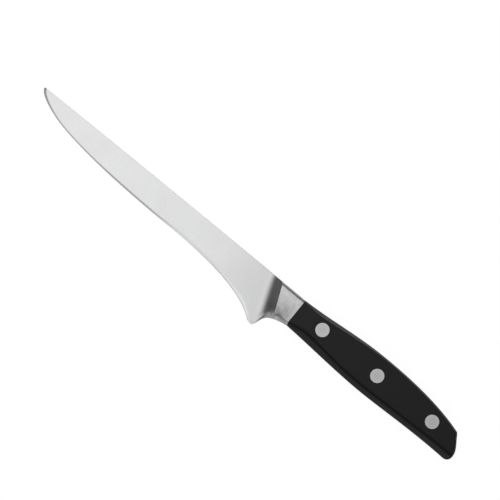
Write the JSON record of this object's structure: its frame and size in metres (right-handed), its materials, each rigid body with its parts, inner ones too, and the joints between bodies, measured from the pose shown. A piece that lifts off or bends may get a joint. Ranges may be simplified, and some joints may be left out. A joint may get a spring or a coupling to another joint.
{
  "type": "boning knife",
  "caption": "Forged boning knife: narrow blade with a deep heel, bolster, and a full tang between black handle scales held by flush rivets.",
  "frame": {"origin": "bottom centre of the bounding box, on the plane of the right scale's flat side, on which the knife lies", "axes": "-X towards the tip and +X towards the butt, +Y from the cutting edge towards the spine, +Z from the right side of the knife to its left side"},
  "size_m": [0.2834, 0.0305, 0.0145],
  "materials": {
    "blade_steel": "fine satin, brushed across the blade",
    "rivet_steel": "satin, ground flush",
    "scale_plastic": "matt moulded acetal, faintly polished"
  },
  "bodies": {
    "root": {"blade_with_tang": "blade_steel", "scale_left": "scale_plastic", "scale_right": "scale_plastic", "rivet_tube_front": "rivet_steel", "rivet_pin_front": "rivet_steel", "rivet_tube_middle": "rivet_steel", "rivet_pin_middle": "rivet_steel", "rivet_tube_rear": "rivet_steel", "rivet_pin_rear": "rivet_steel"}
  },
  "joints": []
}
